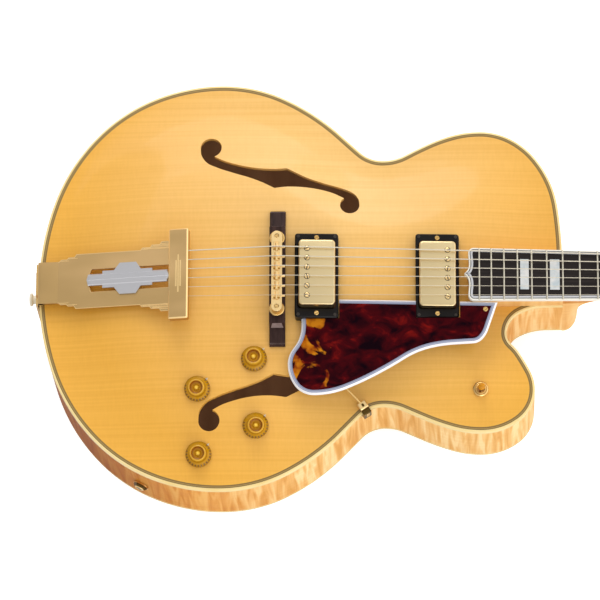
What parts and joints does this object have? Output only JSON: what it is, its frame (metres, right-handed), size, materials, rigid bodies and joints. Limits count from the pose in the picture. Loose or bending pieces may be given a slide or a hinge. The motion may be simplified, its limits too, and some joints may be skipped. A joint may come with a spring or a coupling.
{
  "type": "archtop guitar",
  "caption": "Hollow archtop electric guitar with a rounded cutaway, carved top, f-shaped sound holes, floating bridge and hinged tailpiece.",
  "frame": {"origin": "centre of the bounding box in plan, at the lowest point of the arched back", "axes": "+X along the neck to the headstock, +Y to the bass side, +Z out of the top"},
  "size_m": [1.0884, 0.432, 0.1537],
  "materials": {
    "spruce": "gloss lacquer",
    "maple": "gloss lacquer",
    "lining_wood": "raw",
    "ebony": "satin",
    "cream_celluloid": "gloss",
    "purfling": "gloss",
    "black_plastic": "gloss",
    "tortoiseshell": "gloss",
    "guard_edging": "gloss",
    "gold": "gold plated, satin to polished",
    "silver": "plated, satin",
    "steel": "satin",
    "nickel": "polished",
    "pearl": "pearl",
    "bone": "polished",
    "amber_plastic": "gloss"
  },
  "bodies": {
    "guitar": {"top_plate": "spruce", "tone_bars": "spruce", "back_plate": "maple", "rim_bass": "maple", "rim_treble": "maple", "neck": "maple", "neck_block": "maple", "tail_block": "maple", "linings": "lining_wood", "fingerboard": "ebony", "bridge_base": "ebony", "top_binding": "cream_celluloid", "back_binding": "cream_celluloid", "strap_button": "cream_celluloid", "heel_cap": "cream_celluloid", "fingerboard_binding": "cream_celluloid", "top_purfling": "purfling", "pickup_rings": "black_plastic", "headstock_veneer": "black_plastic", "truss_rod_cover": "black_plastic", "guard": "tortoiseshell", "guard_edging": "guard_edging", "tailpiece": "gold", "tailpiece_hanger": "gold", "tuner_housings": "gold", "tuner_bushings": "gold", "guard_bracket": "gold", "switch_case": "gold", "output_jack": "gold", "tailpiece_insert": "silver", "strings": "steel", "bridge_studs": "steel", "truss_rod": "steel", "potentiometers": "steel", "frets": "nickel", "position_markers": "pearl", "nut": "bone"},
    "neck_volume_knob": {"neck_volume_knob": "amber_plastic"},
    "bridge_volume_knob": {"bridge_volume_knob": "amber_plastic"},
    "neck_tone_knob": {"neck_tone_knob": "amber_plastic"},
    "bridge_tone_knob": {"bridge_tone_knob": "amber_plastic"},
    "switch_lever": {"switch_lever": "amber_plastic"},
    "tuner_post_1": {"tuner_post_1": "gold"},
    "tuner_post_2": {"tuner_post_2": "gold"},
    "tuner_post_3": {"tuner_post_3": "gold"},
    "tuner_post_4": {"tuner_post_4": "gold"},
    "tuner_post_5": {"tuner_post_5": "gold"},
    "tuner_post_6": {"tuner_post_6": "gold"},
    "tuner_button_1": {"tuner_button_1": "gold"},
    "tuner_button_2": {"tuner_button_2": "gold"},
    "tuner_button_3": {"tuner_button_3": "gold"},
    "tuner_button_4": {"tuner_button_4": "gold"},
    "tuner_button_5": {"tuner_button_5": "gold"},
    "tuner_button_6": {"tuner_button_6": "gold"},
    "bridge_rail": {"bridge_rail": "gold", "saddles": "gold"},
    "thumbwheel_bass": {"thumbwheel_bass": "gold"},
    "thumbwheel_treble": {"thumbwheel_treble": "gold"},
    "neck_pickup": {"neck_pickup": "gold"},
    "bridge_pickup": {"bridge_pickup": "gold"}
  },
  "joints": [
    {"name": "neck_volume_knob_turn", "type": "hinge", "parent": "guitar", "child": "neck_volume_knob", "pos_m": [-0.31035, -0.084, 0.12172], "axis": [-0.0082, -0.058, 0.9983], "range_deg": [0, 300]},
    {"name": "bridge_volume_knob_turn", "type": "hinge", "parent": "guitar", "child": "bridge_volume_knob", "pos_m": [-0.36756, -0.114, 0.11837], "axis": [-0.0394, -0.1464, 0.9884], "range_deg": [0, 300]},
    {"name": "neck_tone_knob_turn", "type": "hinge", "parent": "guitar", "child": "neck_tone_knob", "pos_m": [-0.30906, -0.1505, 0.11026], "axis": [0.0685, -0.2246, 0.972], "range_deg": [0, 300]},
    {"name": "bridge_tone_knob_turn", "type": "hinge", "parent": "guitar", "child": "bridge_tone_knob", "pos_m": [-0.36635, -0.179, 0.10521], "axis": [-0.0223, -0.1507, 0.9883], "range_deg": [0, 300]},
    {"name": "switch_throw", "type": "hinge", "parent": "guitar", "child": "switch_lever", "pos_m": [-0.08238, -0.11236, 0.10025], "axis": [0.9985, 0.0029, -0.0544], "range_deg": [-12, 12]},
    {"name": "tuner_button_1_turn", "type": "hinge", "parent": "guitar", "child": "tuner_button_1", "pos_m": [0.40193, 0.027, 0.06921], "axis": [0, 1, 0], "continuous": true},
    {"name": "tuner_post_1_turn", "type": "hinge", "parent": "guitar", "child": "tuner_post_1", "pos_m": [0.40888, 0.027, 0.09113], "axis": [0.3024, 0, 0.9532], "continuous": true},
    {"name": "tuner_button_2_turn", "type": "hinge", "parent": "guitar", "child": "tuner_button_2", "pos_m": [0.4391, 0.027, 0.05741], "axis": [0, 1, 0], "continuous": true},
    {"name": "tuner_post_2_turn", "type": "hinge", "parent": "guitar", "child": "tuner_post_2", "pos_m": [0.44606, 0.027, 0.07934], "axis": [0.3024, 0, 0.9532], "continuous": true},
    {"name": "tuner_button_3_turn", "type": "hinge", "parent": "guitar", "child": "tuner_button_3", "pos_m": [0.47628, 0.027, 0.04562], "axis": [0, 1, 0], "continuous": true},
    {"name": "tuner_post_3_turn", "type": "hinge", "parent": "guitar", "child": "tuner_post_3", "pos_m": [0.48323, 0.027, 0.06754], "axis": [0.3024, 0, 0.9532], "continuous": true},
    {"name": "tuner_button_4_turn", "type": "hinge", "parent": "guitar", "child": "tuner_button_4", "pos_m": [0.47628, -0.027, 0.04562], "axis": [0, -1, 0], "continuous": true},
    {"name": "tuner_post_4_turn", "type": "hinge", "parent": "guitar", "child": "tuner_post_4", "pos_m": [0.48323, -0.027, 0.06754], "axis": [0.3024, 0, 0.9532], "continuous": true},
    {"name": "tuner_button_5_turn", "type": "hinge", "parent": "guitar", "child": "tuner_button_5", "pos_m": [0.4391, -0.027, 0.05741], "axis": [0, -1, 0], "continuous": true},
    {"name": "tuner_post_5_turn", "type": "hinge", "parent": "guitar", "child": "tuner_post_5", "pos_m": [0.44606, -0.027, 0.07934], "axis": [0.3024, 0, 0.9532], "continuous": true},
    {"name": "tuner_button_6_turn", "type": "hinge", "parent": "guitar", "child": "tuner_button_6", "pos_m": [0.40193, -0.027, 0.06921], "axis": [0, -1, 0], "continuous": true},
    {"name": "tuner_post_6_turn", "type": "hinge", "parent": "guitar", "child": "tuner_post_6", "pos_m": [0.40888, -0.027, 0.09113], "axis": [0.3024, 0, 0.9532], "continuous": true},
    {"name": "bridge_height", "type": "slide", "parent": "guitar", "child": "bridge_rail", "axis": [0, 0, 1], "range_m": [-0.001, 0.003], "deforming": ["strings"]},
    {"name": "thumbwheel_bass_turn", "type": "hinge", "parent": "bridge_rail", "child": "thumbwheel_bass", "pos_m": [-0.28675, 0.03725, 0.1427], "axis": [0, 0, 1], "range_deg": [-451, 1351], "deforming": ["strings"]},
    {"name": "thumbwheel_treble_turn", "type": "hinge", "parent": "bridge_rail", "child": "thumbwheel_treble", "pos_m": [-0.28675, -0.03725, 0.1427], "axis": [0, 0, 1], "range_deg": [-451, 1351], "deforming": ["strings"]},
    {"name": "neck_pickup_height", "type": "slide", "parent": "guitar", "child": "neck_pickup", "axis": [0.0628, 0, 0.998], "range_m": [-0.003, 0.0005]},
    {"name": "bridge_pickup_height", "type": "slide", "parent": "guitar", "child": "bridge_pickup", "axis": [0.0628, 0, 0.998], "range_m": [-0.003, 0.0005]}
  ],
  "couplings": [
    {"joint": "tuner_post_1_turn", "follows": "tuner_button_1_turn", "ratio": 0.071429},
    {"joint": "tuner_post_2_turn", "follows": "tuner_button_2_turn", "ratio": 0.071429},
    {"joint": "tuner_post_3_turn", "follows": "tuner_button_3_turn", "ratio": 0.071429},
    {"joint": "tuner_post_4_turn", "follows": "tuner_button_4_turn", "ratio": 0.071429},
    {"joint": "tuner_post_5_turn", "follows": "tuner_button_5_turn", "ratio": 0.071429},
    {"joint": "tuner_post_6_turn", "follows": "tuner_button_6_turn", "ratio": 0.071429},
    {"joint": "thumbwheel_bass_turn", "follows": "bridge_height", "rad_per_m": 7854},
    {"joint": "thumbwheel_treble_turn", "follows": "bridge_height", "rad_per_m": 7854}
  ]
}
